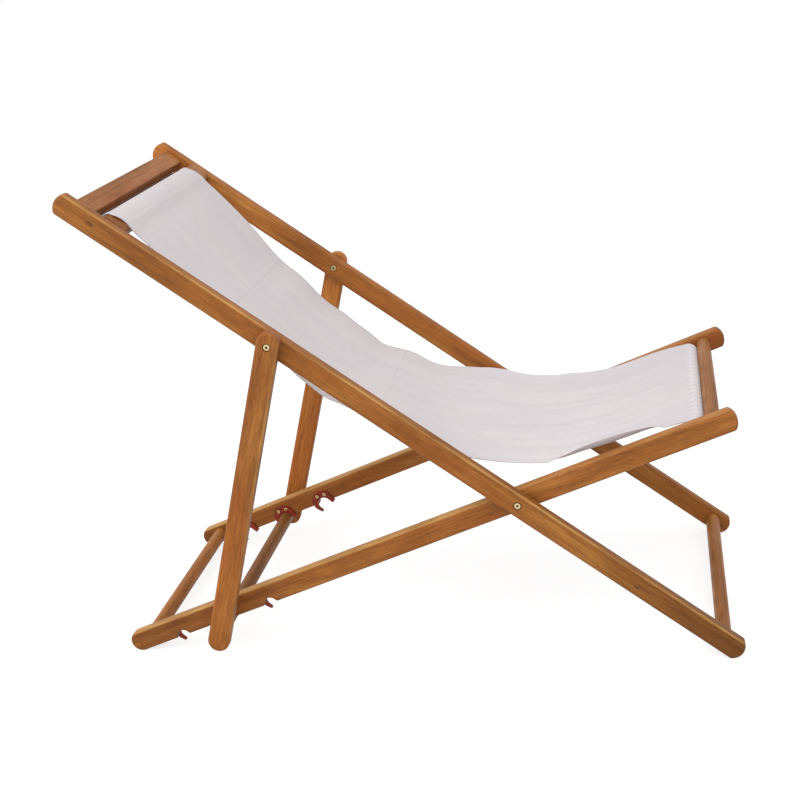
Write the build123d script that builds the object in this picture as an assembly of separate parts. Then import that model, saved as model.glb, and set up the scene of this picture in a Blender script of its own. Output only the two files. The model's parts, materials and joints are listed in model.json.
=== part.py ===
from build123d import *
import math
import os

# Folding beach chair: two crossed frames, a strut frame and a canvas sling.
# Front of the chair is +X, the sitter's left is +Y, +Z is up. Millimetres.
# Side profiles are drawn in a rail's own plane: u runs along the rail towards
# the front, v runs across it and upwards, both from the pivot it turns on.

# Boards
rail_width = 38.5
rail_thickness = 20.5
rail_edge_round = 4.5
upper_end_radius = 26.0
upper_end_corner = 7.0
seat_inner_width = 422.0

# Back frame, lengths measured from the main pivot
back_head = 901.0
back_foot = 451.5
front_foot_radius = 22.5
front_foot_corner = 6.0
foot_dowel_at = 414.5
head_slat_at = 860.5
head_slat_width = 36.0
head_slat_thickness = 21.0
head_slat_round = 3.0
head_slot = 16.5
back_bar_width = 44.0
back_bar_thickness = 21.0
back_bar_top_round = 9.0
back_bar_bottom_round = 3.0

# Seat frame, lengths measured from the main pivot
seat_rear_past_notch = 101.0
rear_dowel_past_notch = 59.5
seat_front = 379.5
front_dowel_at = 339.5
front_slot = 4.0

# Strut frame, lengths measured from the strut pivot
strut_pivot_at = 485.0
strut_top = 25.5
strut_foot = 578.5
prop_dowel_at = 541.5

# Dowels and their joints
dowel_diameter = 25.4
dowel_shoulder_round = 1.5
tenon_diameter = 16.0
tenon_length = 12.0
slat_tenon_width = 24.0
slat_tenon_thickness = 11.0
glue_gap = 0.05

# Pivots: a socket-head bolt screwed into a sleeve nut, with a washer between the boards
main_washer_thickness = 3.5
strut_washer_thickness = 2.0
washer_diameter = 22.0
sleeve_diameter = 8.0
bolt_diameter = 6.0
bolt_head_diameter = 11.0
bolt_head_height = 3.0
bolt_head_recess = 3.5
bolt_head_counterbore = 14.0
bolt_head_round = 0.8
hex_socket = 4.0
hex_socket_depth = 2.0
sleeve_into_outer_board = 10.0
thread_gap = 0.03
running_gap = 0.05

# Notches and hooks under the seat rails; the prop dowel lies in the middle ones
middle_notch_at = 580.5
notch_pitch = 91.0
notch_drop = 20.5
notch_clearance = 1.0
hook_clearance = 0.5
hook_slot_angle = -62.0
hook_thickness = 5.0
hook_back_wall = 14.0
hook_front_wall = 10.0
hook_rear_wall = 6.0
hook_front_tip = 8.0
hook_rear_tip = 4.0
hook_front_reach = 12.0
hook_rear_reach = 8.0
hook_tip_round = 1.8
hook_edge_round = 0.8
hook_screw_angles = (110.5, 64.5)
hook_screw_reach = 8.0
screw_diameter = 3.5
screw_length = 14.0
screw_head_diameter = 7.0
screw_head_height = 2.0
screw_slot_width = 1.2
screw_slot_depth = 1.0

# Sling
sling_side_gap = 7.0
sling_thickness = 1.2
sling_clearance = 0.3
head_rod_diameter = 18.0
head_rod_overhang = 16.0
front_rod_diameter = 12.0
front_rod_overhang = 3.0
# Corners of the hanging cloth, forward and up from the main pivot, and the radius at each
sling_corners = [(-472.0, 318.0), (-300.0, 165.0), (-170.0, 90.0), (50.0, 63.0)]
sling_radii = [160.0, 320.0, 300.0, 30.0]

SIDES = {"left": 1, "right": -1}
half_rail = rail_width / 2
full_round = (half_rail, 0)
upper_end = (upper_end_radius, upper_end_corner)
front_foot = (front_foot_radius, front_foot_corner)
dowel_radius = dowel_diameter / 2
sling_width = seat_inner_width - 2 * sling_side_gap

# Places along the seat rails, behind the main pivot
rear_notch_at = middle_notch_at + notch_pitch
front_notch_at = middle_notch_at - notch_pitch
notch_positions = {"rear": rear_notch_at, "middle": middle_notch_at, "front": front_notch_at}
rear_dowel_at = rear_notch_at + rear_dowel_past_notch
seat_rear = rear_notch_at + seat_rear_past_notch

# Faces of the boards, as distances from the middle of the chair
seat_inner = seat_inner_width / 2
seat_outer = seat_inner + rail_thickness
back_inner = seat_outer + main_washer_thickness
back_outer = back_inner + rail_thickness
strut_inner = back_outer + strut_washer_thickness
strut_outer = strut_inner + rail_thickness

# The triangle of main pivot, strut pivot and prop dowel sets the angle between the frames
pivot_to_dowel = math.hypot(middle_notch_at, notch_drop)
squares = strut_pivot_at**2 + pivot_to_dowel**2 - prop_dowel_at**2
triangle_angle = math.acos(squares / (2 * strut_pivot_at * pivot_to_dowel))
opening = triangle_angle - math.atan2(notch_drop, middle_notch_at)

# The chair stands level on the round rear feet and the blunt front feet
foot_arm = back_foot - front_foot_radius
rear_arm = seat_rear - half_rail
level_x = foot_arm + rear_arm * math.cos(opening)
level_z = rear_arm * math.sin(opening)
foot_step = front_foot_radius - half_rail
back_slope = math.atan2(level_z, level_x) - math.asin(foot_step / math.hypot(level_x, level_z))
seat_slope = opening - back_slope


def side_plane(origin, angle):
    """Plane in the side view whose x axis climbs at this angle; its z axis points to the sitter's right."""
    return Plane(origin=origin, x_dir=(math.cos(angle), 0, math.sin(angle)), z_dir=(0, -1, 0))


def in_side_view(plane, u, v):
    """Forward and up position of a point given in a side plane."""
    point = plane.from_local_coords(Vector(u, v, 0))
    return Vector(point.X, point.Z)


main_pivot = Vector(0, 0, 0)
back_plane = side_plane(main_pivot, -back_slope)
seat_plane = side_plane(main_pivot, seat_slope)
strut_pivot = back_plane.from_local_coords(Vector(-strut_pivot_at, 0, 0))
prop_point = seat_plane.from_local_coords(Vector(-middle_notch_at, -notch_drop, 0))
strut_angle = math.atan2(prop_point.Z - strut_pivot.Z, prop_point.X - strut_pivot.X)
strut_plane = side_plane(strut_pivot, strut_angle)


def rod(u, v, radius, y_from, y_to):
    """Cylinder across the chair, in a side plane."""
    return Pos(u, v, -(y_from + y_to) / 2) * Cylinder(radius, abs(y_to - y_from))


def slab(face, y_from, y_to):
    """A side profile given its thickness across the chair."""
    lowest = min(-y_from, -y_to)
    return Pos(0, 0, lowest) * extrude(face, amount=abs(y_to - y_from), dir=(0, 0, 1))


def arc_depth(radius):
    """How far a round board end of this radius stands out past its corners."""
    return radius - math.sqrt(max(radius**2 - half_rail**2, 0))


def board(start, end, y_from, y_to, start_form, end_form):
    """A rail from u = start to u = end with eased edges; each end's form is its radius and its corner rounding."""
    start_line = start + arc_depth(start_form[0])
    end_line = end - arc_depth(end_form[0])
    outline = [
        Line((start_line, -half_rail), (end_line, -half_rail)),
        ThreePointArc((end_line, -half_rail), (end, 0), (end_line, half_rail)),
        Line((end_line, half_rail), (start_line, half_rail)),
        ThreePointArc((start_line, half_rail), (start, 0), (start_line, -half_rail)),
    ]
    solid = slab(Face(Wire(outline)), y_from, y_to)
    for place, corner in ((0, start_form[1]), (-1, end_form[1])):
        if corner:
            corners = solid.edges().filter_by(Axis.Z).group_by(Axis.X)[place]
            solid = fillet(corners, corner)
    rims = solid.faces().filter_by(Axis.Z).edges()
    return fillet(rims, rail_edge_round)


def dowel(u, v, shoulder):
    """A round cross bar with a tenon at each end."""
    bar = rod(u, v, dowel_radius, -shoulder, shoulder)
    bar = fillet(bar.edges().filter_by(GeomType.CIRCLE), dowel_shoulder_round)
    tenon_end = shoulder + tenon_length
    return bar + rod(u, v, tenon_diameter / 2, -tenon_end, tenon_end)


def dowel_socket(u, v, side, face):
    """Blind hole for a dowel's tenon, in the board's inner face."""
    return rod(u, v, tenon_diameter / 2 + glue_gap, side * face, side * (face + tenon_length))


def cross_slat(u, v, section, shoulder):
    """A flat cross bar of this section with a flat tenon at each end."""
    tenon = Rectangle(slat_tenon_width, slat_tenon_thickness)
    tenon_end = shoulder + tenon_length
    return slab(Pos(u, v) * section, -shoulder, shoulder) + slab(Pos(u, v) * tenon, -tenon_end, tenon_end)


def slat_mortise(u, v, side, face):
    """Blind slot for a slat's tenon, in the board's inner face."""
    slot = Rectangle(slat_tenon_width + 2 * glue_gap, slat_tenon_thickness + 2 * glue_gap)
    return slab(Pos(u, v) * slot, side * face, side * (face + tenon_length))


def pivot_hole(u, side, y_inner, y_outer, recess_y, recess_to):
    """Through hole for a pivot's sleeve, with a counterbore for a head at one face."""
    hole = rod(u, 0, sleeve_diameter / 2 + running_gap, side * y_inner, side * y_outer)
    return hole + rod(u, 0, bolt_head_counterbore / 2, side * recess_y, side * recess_to)


def pivot_fasteners(u, side, inner_face, outer_face, washer_from, washer_to):
    """Bolt, sleeve nut and washer of one pivot; the bolt's head is on the outer face."""
    outer_floor = outer_face - bolt_head_recess + running_gap
    inner_floor = inner_face + bolt_head_recess - running_gap
    head_top = outer_floor + bolt_head_height
    nut_top = inner_floor - bolt_head_height
    sleeve_end = washer_to + sleeve_into_outer_board
    head_radius = bolt_head_diameter / 2
    head = rod(u, 0, head_radius, side * outer_floor, side * head_top)
    head = fillet(head.edges().filter_by(GeomType.CIRCLE), bolt_head_round)
    bolt = head + rod(u, 0, bolt_diameter / 2, side * inner_floor, side * (outer_floor + bolt_head_round))
    socket = Pos(u, 0) * RegularPolygon(hex_socket / 2, 6, major_radius=False)
    bolt -= slab(socket, side * (head_top - hex_socket_depth), side * head_top)
    nut_head = rod(u, 0, head_radius, side * nut_top, side * inner_floor)
    nut_head = fillet(nut_head.edges().filter_by(GeomType.CIRCLE), bolt_head_round)
    sleeve_start = inner_floor - bolt_head_round
    nut = nut_head + rod(u, 0, sleeve_diameter / 2, side * sleeve_start, side * sleeve_end)
    bore_start = inner_floor - thread_gap
    nut -= rod(u, 0, bolt_diameter / 2 + thread_gap, side * bore_start, side * sleeve_end)
    nut -= slab(socket, side * nut_top, side * (nut_top + hex_socket_depth))
    washer = rod(u, 0, washer_diameter / 2, side * washer_from, side * washer_to)
    washer -= rod(u, 0, sleeve_diameter / 2 + running_gap, side * washer_from, side * washer_to)
    return bolt, nut, washer


def notch_cut(position):
    """Seat for the prop dowel in a rail's lower edge, open the way the dowel leaves it."""
    radius = dowel_radius + notch_clearance
    slide = Pos(rail_width / 2, 0) * Rectangle(rail_width, 2 * radius)
    profile = Circle(radius) + slide
    return Pos(-position, -notch_drop) * Rot(0, 0, hook_slot_angle) * profile


def hook_screw_places(position):
    """Centres of a hook's two screws, in the seat plane."""
    reach = dowel_radius + hook_clearance + hook_screw_reach
    places = []
    for angle in hook_screw_angles:
        turn = math.radians(angle)
        places.append((-position + reach * math.cos(turn), -notch_drop + reach * math.sin(turn)))
    return places


def hook(position, side):
    """Moulded hook plate on a seat rail's inner face: a U round the dowel with two prongs."""
    inner = dowel_radius + hook_clearance
    front = inner + hook_front_wall
    rear = inner + hook_rear_wall
    outline = [
        ThreePointArc((0, inner), (-inner, 0), (0, -inner)),
        Polyline((0, -inner), (hook_rear_reach, -inner), (hook_rear_reach, -inner - hook_rear_tip), (0, -rear)),
        ThreePointArc((0, -rear), (-inner - hook_back_wall, 0), (0, front)),
        Polyline((0, front), (hook_front_reach, inner + hook_front_tip), (hook_front_reach, inner), (0, inner)),
    ]
    edges = [edge for curve in outline for edge in curve.edges()]
    profile = Sketch() + Face(Wire(edges))
    tip_line = min(hook_front_reach, hook_rear_reach) / 2
    tips = [vertex for vertex in profile.vertices() if vertex.X > tip_line]
    profile = Pos(-position, -notch_drop) * Rot(0, 0, hook_slot_angle) * fillet(tips, hook_tip_round)
    plate = slab(profile, side * (seat_inner - hook_thickness), side * seat_inner)
    shown_face = plate.faces().filter_by(Axis.Z).sort_by(Axis.Z)[-1 if side > 0 else 0]
    plate = fillet(shown_face.edges(), hook_edge_round)
    for u, v in hook_screw_places(position):
        hole_radius = screw_diameter / 2 + glue_gap
        plate -= rod(u, v, hole_radius, side * (seat_inner - hook_thickness), side * seat_inner)
    return plate


def hook_screw(u, v, side):
    """Round-head wood screw through a hook into its rail."""
    seat = seat_inner - hook_thickness
    head_top = seat - screw_head_height
    tip = seat + screw_length
    head = rod(u, v, screw_head_diameter / 2, side * head_top, side * seat)
    top_rim = head.edges().filter_by(GeomType.CIRCLE).sort_by(Axis.Z)[-1 if side > 0 else 0]
    head = fillet(top_rim, screw_head_height / 2)
    screw = head + rod(u, v, screw_diameter / 2, side * (seat - screw_head_height / 2), side * tip)
    for turn in (0, 90):
        groove = Rot(0, 0, turn) * Rectangle(screw_head_diameter / 2, screw_slot_width)
        screw -= slab(Pos(u, v) * groove, side * head_top, side * (head_top + screw_slot_depth))
    return screw


def back_bar_section():
    """Sling bar at the head: a flat bar with a well rounded upper side."""
    bar = Rectangle(back_bar_width, back_bar_thickness)
    upper = bar.vertices().group_by(Axis.Y)[-1]
    bar = fillet(upper, back_bar_top_round)
    lower = bar.vertices().group_by(Axis.Y)[0]
    return fillet(lower, back_bar_bottom_round)


def tangent_corner(point, centre, radius, line_point, line_direction):
    """Where a line from this point, passing over a round of this radius, meets another line."""
    reach = centre - point
    base = math.atan2(reach.Y, reach.X)
    lift = math.asin(radius / reach.length)
    if reach.X < 0:
        lift = -lift
    heading = Vector(math.cos(base + lift), math.sin(base + lift))
    offset = line_point - point
    bend = heading.X * line_direction.Y - heading.Y * line_direction.X
    travel = (offset.X * line_direction.Y - offset.Y * line_direction.X) / bend
    return point + heading * travel


# Places of the cross bars along their rails
back_bar_at = head_slat_at - head_slat_width / 2 - head_slot - back_bar_width / 2
back_bar_lift = half_rail - back_bar_thickness / 2
seat_bar_at = front_dowel_at - dowel_diameter - front_slot

# The cloth's middle line keeps this far from what it lies on
sling_offset = sling_clearance + sling_thickness / 2
head_sleeve_radius = head_rod_diameter / 2 + sling_offset
head_sleeve_outer = head_sleeve_radius + sling_thickness / 2
front_sleeve_radius = front_rod_diameter / 2 + sling_offset
front_sleeve_outer = front_sleeve_radius + sling_thickness / 2

# Head rod: its sleeve hangs from the slot's lower side and bears on the slat's lower corner
head_drop_u = -(back_bar_at + back_bar_width / 2 + sling_offset)
head_rod_u = head_drop_u - head_sleeve_radius
slat_corner_u = -(head_slat_at - head_slat_width / 2)
head_rod_reach = head_sleeve_outer + sling_clearance
head_rod_sink = math.sqrt(max(head_rod_reach**2 - (head_rod_u - slat_corner_u) ** 2, 0))
head_rod_v = -head_slat_thickness / 2 - head_rod_sink

# Front rod: its sleeve bears on the sling bar and the front dowel from below
front_drop_u = seat_bar_at + dowel_radius + sling_offset
front_rod_reach = dowel_radius + front_sleeve_outer + sling_clearance
front_rod_v = -math.sqrt(front_rod_reach**2 - (front_drop_u - seat_bar_at) ** 2)


def sling():
    """Canvas from the head rod over the sling bars to the front rod, with a sleeve at each end."""
    top_v = half_rail + sling_offset
    round_radius = back_bar_top_round + sling_offset
    round_v = half_rail - back_bar_top_round
    round_u = -(back_bar_at - back_bar_width / 2 + back_bar_top_round)
    corners = [Vector(x, z) for x, z in sling_corners]
    along_back = in_side_view(back_plane, 1, 0)
    top_point = in_side_view(back_plane, round_u, top_v)
    head_round = in_side_view(back_plane, round_u, round_v)
    front_round = in_side_view(seat_plane, seat_bar_at, 0)
    drop_point = in_side_view(seat_plane, front_drop_u, 0)
    down_seat = in_side_view(seat_plane, 0, -1)
    path = [in_side_view(back_plane, head_drop_u, head_rod_v), in_side_view(back_plane, head_drop_u, top_v)]
    path.append(tangent_corner(corners[0], head_round, round_radius, top_point, along_back))
    path.extend(corners)
    bar_radius = dowel_radius + sling_offset
    path.append(tangent_corner(corners[-1], front_round, bar_radius, drop_point, down_seat))
    path.append(in_side_view(seat_plane, front_drop_u, front_rod_v + front_sleeve_radius))
    radii = [round_radius, round_radius] + sling_radii + [bar_radius]
    middle = FilletPolyline(*[(point.X, point.Y) for point in path], radius=radii)
    band = Face(middle.wire().offset_2d(sling_thickness / 2, side=Side.BOTH))
    head_sleeve = (in_side_view(back_plane, head_rod_u, head_rod_v), head_sleeve_outer)
    front_sleeve = (in_side_view(seat_plane, front_drop_u, front_rod_v), front_sleeve_outer)
    for centre, outer in (head_sleeve, front_sleeve):
        rod_room = Pos(centre.X, centre.Y) * Circle(outer - sling_thickness)
        band = band + Pos(centre.X, centre.Y) * Circle(outer) - rod_room
    return slab(band, -sling_width / 2, sling_width / 2)


def back_rail(side):
    """Long rail of the back frame, from the head down to the front foot."""
    faces = (side * back_inner, side * back_outer)
    bolt_floor = back_outer - bolt_head_recess
    nut_floor = back_inner + bolt_head_recess
    rail = board(-back_head, back_foot, *faces, upper_end, front_foot)
    rail -= pivot_hole(0, side, back_inner, back_outer, bolt_floor, back_outer)
    rail -= pivot_hole(-strut_pivot_at, side, back_inner, back_outer, back_inner, nut_floor)
    rail -= dowel_socket(foot_dowel_at, 0, side, back_inner)
    rail -= slat_mortise(-head_slat_at, 0, side, back_inner)
    rail -= slat_mortise(-back_bar_at, back_bar_lift, side, back_inner)
    return rail


def seat_rail(side):
    """Rail of the seat frame, from the rear foot up to the front of the seat, notched below."""
    rail = board(-seat_rear, seat_front, side * seat_inner, side * seat_outer, full_round, upper_end)
    rail -= pivot_hole(0, side, seat_inner, seat_outer, seat_inner, seat_inner + bolt_head_recess)
    for at in (-rear_dowel_at, seat_bar_at, front_dowel_at):
        rail -= dowel_socket(at, 0, side, seat_inner)
    pilot_end = seat_inner - hook_thickness + screw_length
    for position in notch_positions.values():
        rail -= slab(notch_cut(position), side * seat_inner, side * seat_outer)
        for u, v in hook_screw_places(position):
            rail -= rod(u, v, screw_diameter / 2 + glue_gap, side * seat_inner, side * pilot_end)
    return rail


def strut(side):
    """Strut outside a back rail, from the strut pivot down past the prop dowel."""
    bolt_floor = strut_outer - bolt_head_recess
    prop = board(-strut_top, strut_foot, side * strut_inner, side * strut_outer, full_round, full_round)
    prop -= pivot_hole(0, side, strut_inner, strut_outer, bolt_floor, strut_outer)
    prop -= dowel_socket(prop_dowel_at, 0, side, strut_inner)
    return prop


parts = {}

for name, side in SIDES.items():
    parts[f"back_rail_{name}"] = back_plane.location * back_rail(side)
    parts[f"seat_rail_{name}"] = seat_plane.location * seat_rail(side)
    parts[f"strut_{name}"] = strut_plane.location * strut(side)
    main_washer = (seat_outer + running_gap, back_inner)
    strut_washer = (back_outer, strut_inner - running_gap)
    main_set = pivot_fasteners(0, side, seat_inner, back_outer, *main_washer)
    strut_set = pivot_fasteners(-strut_pivot_at, side, back_inner, strut_outer, *strut_washer)
    for kind, main_piece, strut_piece in zip(("bolt", "sleeve_nut", "washer"), main_set, strut_set):
        parts[f"main_pivot_{kind}_{name}"] = back_plane.location * main_piece
        parts[f"strut_pivot_{kind}_{name}"] = back_plane.location * strut_piece
    screws = []
    for place, position in notch_positions.items():
        parts[f"notch_hook_{place}_{name}"] = seat_plane.location * hook(position, side)
        for u, v in hook_screw_places(position):
            screws.append(seat_plane.location * hook_screw(u, v, side))
    parts[f"hook_screws_{name}"] = Compound(children=screws)

head_section = fillet(Rectangle(head_slat_width, head_slat_thickness).vertices(), head_slat_round)
head_slat = cross_slat(-head_slat_at, 0, head_section, back_inner)
back_bar = cross_slat(-back_bar_at, back_bar_lift, back_bar_section(), back_inner)
head_rod_half = sling_width / 2 + head_rod_overhang
front_rod_half = sling_width / 2 + front_rod_overhang
head_rod = rod(head_rod_u, head_rod_v, head_rod_diameter / 2, -head_rod_half, head_rod_half)
front_rod = rod(front_drop_u, front_rod_v, front_rod_diameter / 2, -front_rod_half, front_rod_half)
parts["head_slat"] = back_plane.location * head_slat
parts["back_sling_bar"] = back_plane.location * back_bar
parts["foot_dowel"] = back_plane.location * dowel(foot_dowel_at, 0, back_inner)
parts["front_dowel"] = seat_plane.location * dowel(front_dowel_at, 0, seat_inner)
parts["seat_sling_bar"] = seat_plane.location * dowel(seat_bar_at, 0, seat_inner)
parts["rear_dowel"] = seat_plane.location * dowel(-rear_dowel_at, 0, seat_inner)
parts["prop_dowel"] = strut_plane.location * dowel(prop_dowel_at, 0, strut_inner)
parts["sling_rod_head"] = back_plane.location * head_rod
parts["sling_rod_front"] = seat_plane.location * front_rod
parts["sling"] = side_plane(main_pivot, 0).location * sling()

# The origin is on the floor, under the middle of the whole chair
boxes = [solid.bounding_box() for solid in parts.values()]
low = Vector(*[min(getattr(box.min, axis) for box in boxes) for axis in "XYZ"])
high = Vector(*[max(getattr(box.max, axis) for box in boxes) for axis in "XYZ"])
size = high - low
to_floor = Pos(-(low.X + high.X) / 2, -(low.Y + high.Y) / 2, -low.Z)

os.makedirs("parts", exist_ok=True)
for name, solid in parts.items():
    export_step(to_floor * solid, f"parts/{name}.step")

print("size", size.X, size.Y, size.Z)
print("main pivot", tuple((to_floor * Pos(main_pivot)).position))
print("strut pivot", tuple((to_floor * Pos(strut_pivot)).position))
print("opening", math.degrees(opening), "strut angle", math.degrees(strut_angle))
print("back slope", math.degrees(back_slope), "seat slope", math.degrees(seat_slope))
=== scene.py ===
import json
import math

import bpy
import numpy as np
from bpy.props import FloatProperty, FloatVectorProperty, IntProperty, PointerProperty
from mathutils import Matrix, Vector


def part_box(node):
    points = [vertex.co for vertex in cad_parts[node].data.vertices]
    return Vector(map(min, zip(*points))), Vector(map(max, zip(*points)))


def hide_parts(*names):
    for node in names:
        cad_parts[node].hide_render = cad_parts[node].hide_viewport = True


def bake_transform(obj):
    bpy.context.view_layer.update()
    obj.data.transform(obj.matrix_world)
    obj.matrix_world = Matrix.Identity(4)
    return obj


bl_info = {
    "name": "Folding beach chair",
    "version": (1, 0, 0),
    "blender": (4, 5, 0),
    "location": "View3D > Sidebar > Beach chair",
    "description": "Dresses the folding beach chair: oiled wood, fittings, canvas, stitching and studio",
    "category": "Object",
}

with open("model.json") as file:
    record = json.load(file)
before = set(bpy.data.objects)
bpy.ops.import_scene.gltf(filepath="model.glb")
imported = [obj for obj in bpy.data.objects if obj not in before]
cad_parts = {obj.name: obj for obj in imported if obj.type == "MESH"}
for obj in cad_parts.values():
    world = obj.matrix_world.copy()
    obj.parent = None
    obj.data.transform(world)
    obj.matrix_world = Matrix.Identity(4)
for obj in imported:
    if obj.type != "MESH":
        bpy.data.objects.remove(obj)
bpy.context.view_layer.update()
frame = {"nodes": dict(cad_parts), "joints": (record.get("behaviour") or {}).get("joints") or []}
nodes = frame["nodes"]
joints = {joint["name"]: joint for joint in frame["joints"]}

# Sizes that follow the solids, in metres
rail_width = 0.0385
rail_thickness = 0.0205
rail_round = 0.0045
bar_top_round = 0.009
bar_half_width = 0.022
cloth_gap = 0.0003


def tone(red, green, blue):
    """A colour given as seen on screen, 0 to 255, as linear light by the sRGB curve."""
    values = []
    for level in (red, green, blue):
        share = level / 255
        values.append(share / 12.92 if share <= 0.04045 else ((share + 0.055) / 1.055) ** 2.4)
    return tuple(values)


def middle(node):
    """Middle of a solid's box."""
    low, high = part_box(node)
    return (low + high) / 2


def side_view(point):
    """Forward and up values of a point."""
    return np.array([point[0], point[2]])


def heading(start, end):
    """Direction in the side view from one point to another."""
    way = side_view(end) - side_view(start)
    return way / np.linalg.norm(way)


main_pivot = Vector(joints["frame_fold"]["pos_m"])
strut_pivot = Vector(joints["strut_fold"]["pos_m"])
back_way = heading(main_pivot, middle("foot_dowel"))
seat_way = heading(main_pivot, middle("front_dowel"))
strut_way = heading(strut_pivot, middle("prop_dowel"))
sling_low, sling_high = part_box("sling")


def metres(name, description, default):
    """A setting for a length."""
    return FloatProperty(name=name, description=description, default=default, unit="LENGTH")


def watts(name, description, default):
    """A setting for a lamp's power."""
    return FloatProperty(name=name, description=description, default=default, unit="POWER")


def paint(name, description, default):
    """A setting for a colour."""
    about = {"name": name, "description": description, "default": default}
    return FloatVectorProperty(subtype="COLOR", size=3, **about)


class WoodSettings(bpy.types.PropertyGroup):
    """Colours and grain of the oiled hardwood."""

    face: paint("Face", "Main colour of the boards", tone(150, 93, 40))
    dark: paint("Dark streak", "Colour of the dark growth lines", tone(118, 68, 26))
    light: paint("Pale streak", "Colour of the golden lines", tone(184, 126, 60))
    # The eased-edge colour is partly wear and partly painted highlight on the upper roundings, and painted
    # highlight on the seat rails' tops
    edge: paint("Eased edge", "Colour where the rounded edges have paled", tone(206, 158, 92))
    streak_pitch: metres("Streak pitch", "Usual width of a growth line", 0.013)
    streak_length: metres("Streak length", "Usual length of a growth line", 0.32)
    roughness: FloatProperty(
        name="Roughness", description="Roughness of the oil finish", default=0.48, subtype="FACTOR"
    )


class FittingSettings(bpy.types.PropertyGroup):
    """Colours of the hooks, screws and pivots."""

    hook: paint("Hook", "Colour of the moulded hooks", tone(128, 42, 20))
    screw: paint("Screw", "Colour of the wood screws", tone(226, 196, 142))
    pivot: paint("Pivot", "Colour of the bolts, nuts and washers", tone(226, 206, 160))
    roughness: FloatProperty(
        name="Roughness", description="Roughness of the metal", default=0.34, subtype="FACTOR"
    )


class SlingSettings(bpy.types.PropertyGroup):
    """Sizes, folds and colour of the canvas."""

    width: metres("Width", "Width of the hemmed canvas", sling_high.y - sling_low.y)
    thickness: metres("Thickness", "Thickness of one layer", 0.0012)
    hem_width: metres("Hem width", "Width of the folded side hems", 0.012)
    hem_extra: metres("Hem extra", "How much thicker the hems are", 0.0009)
    columns: IntProperty(name="Columns", description="Faces across between the hems", default=150)
    rows: IntProperty(name="Rows", description="Faces along the hanging part", default=160)
    edge_roll: metres("Edge roll", "How far the near edge curls up in front of the bend", 0.0205)
    roll_width: metres("Roll width", "Width in which the curl fades", 0.012)
    ripple: metres("Ripple", "Height of the soft lengthwise folds", 0.0007)
    crease: metres("Crease", "Height of the pressed cross creases", 0.0008)
    edge_wave: metres("Edge wave", "Waviness of the side edges", 0.0006)
    ruffle: metres("Ruffle", "Depth of the gathers over the front bar", 0.0052)
    ruffle_pitch: metres("Ruffle pitch", "Distance between two gathers", 0.0195)
    head_crown: metres("Head crown", "How far the canvas bows up over the head bar", 0.0020)
    head_lift: metres("Head lift", "How far the near edge stands off the head bar", 0.0008)
    head_slide: metres("Head slide", "How far it has slid to the near side on the head bar", 0.014)
    sleeve_slide: metres("Sleeve slide", "How far the head sleeve has slid to the far side", 0.0155)
    colour: paint("Colour", "Colour of the canvas", tone(213, 206, 209))


class StitchSettings(bpy.types.PropertyGroup):
    """Sizes and colour of the sewing thread."""

    pitch: metres("Pitch", "Distance from stitch to stitch", 0.0036)
    length: metres("Length", "Length of one stitch", 0.0027)
    thread: metres("Thread", "Thickness of the thread", 0.0006)
    colour: paint("Colour", "Colour of the thread", tone(206, 200, 202))


class StageSettings(bpy.types.PropertyGroup):
    """Floor, lamps and camera."""

    floor_size: metres("Floor", "Side of the floor", 60.0)
    floor_grey: FloatProperty(
        name="Floor grey", description="Grey of the floor's paint", default=0.42, subtype="FACTOR"
    )
    floor_glow: FloatProperty(name="Floor glow", description="White added where it is seen", default=0.72)
    ambient: FloatProperty(name="Ambient", description="Strength of the even light", default=0.72)
    key_power: watts("Key", "Power of the large lamp overhead", 40.0)
    fill_power: watts("Fill", "Power of the lamp beside the camera", 31.0)
    side_power: watts("Side", "Power of the lamp behind the back rest", 30.0)
    camera_place: FloatVectorProperty(
        name="Camera", description="Place of the camera", subtype="TRANSLATION", size=3,
        default=(0.42623, -2.34246, 1.21230),
    )
    camera_turn: FloatVectorProperty(
        name="Camera turn", description="Rotation of the camera", subtype="EULER", size=3,
        default=(math.radians(70.8491), math.radians(5.3441), math.radians(9.6141)),
    )
    lens: FloatProperty(name="Lens", description="Focal length in millimetres", default=62.51)


def feed(tree, node, inputs):
    """Gives a node's sockets their values and links."""
    for socket, value in inputs.items():
        if isinstance(value, bpy.types.NodeSocket):
            tree.links.new(value, node.inputs[socket])
        else:
            node.inputs[socket].default_value = value


def add_node(tree, kind, inputs=None, **settings):
    """A new node with its settings, values and links."""
    node = tree.nodes.new(kind)
    for name, value in settings.items():
        setattr(node, name, value)
    feed(tree, node, inputs or {})
    return node


def calc(tree, operation, *values, clamp=False):
    """Result of a math node."""
    node = add_node(tree, "ShaderNodeMath", dict(enumerate(values)), operation=operation, use_clamp=clamp)
    return node.outputs[0]


def product(tree, first, *others):
    """All the values multiplied."""
    for value in others:
        first = calc(tree, "MULTIPLY", first, value)
    return first


def vector_calc(tree, operation, *vectors):
    """Result of a vector math node, which is a number for a length."""
    node = add_node(tree, "ShaderNodeVectorMath", dict(enumerate(vectors)), operation=operation)
    return node.outputs["Value" if operation == "LENGTH" else "Vector"]


def step(tree, value, low, high, to_low=0.0, to_high=1.0):
    """A smooth step of a value between two limits."""
    inputs = {"Value": value, "From Min": low, "From Max": high, "To Min": to_low, "To Max": to_high}
    return add_node(tree, "ShaderNodeMapRange", inputs, interpolation_type="SMOOTHSTEP").outputs["Result"]


def mix(tree, share, first, second, blend_type="MIX"):
    """Two colours mixed by a share."""
    inputs = {0: share, 6: first, 7: second}
    node = add_node(tree, "ShaderNodeMix", inputs, data_type="RGBA", blend_type=blend_type)
    return node.outputs[2]


def shaded(tree, colour, shade):
    """A colour darkened or paled by a shade."""
    grey = add_node(tree, "ShaderNodeCombineColor", {0: shade, 1: shade, 2: shade}).outputs[0]
    return mix(tree, 1.0, colour, grey, "MULTIPLY")


def opaque(colour):
    """A colour with full cover, as a colour socket takes it."""
    return (colour[0], colour[1], colour[2], 1.0)


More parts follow.
